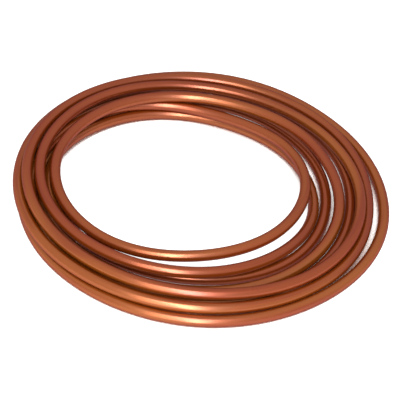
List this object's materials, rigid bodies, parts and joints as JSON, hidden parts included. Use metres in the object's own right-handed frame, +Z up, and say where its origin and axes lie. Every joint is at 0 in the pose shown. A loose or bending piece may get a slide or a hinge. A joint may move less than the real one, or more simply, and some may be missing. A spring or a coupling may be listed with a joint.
{
  "type": "copper tube coil",
  "caption": "Loose flat coil of soft copper tube, wound in overlapping round turns about an open eye, lying on its side face.",
  "frame": {"origin": "middle of the coil's outline, at the level of the ground it lies on", "axes": "+Z up along the coil's axis, +X to the right and +Y to the back; the turns lie closest together at the back left and have slipped apart on the +X side"},
  "size_m": [0.3262, 0.335, 0.0302],
  "materials": {
    "copper": "plain drawn copper, lightly dulled, smooth"
  },
  "bodies": {
    "root": {"copper_tube": "copper"}
  },
  "joints": []
}
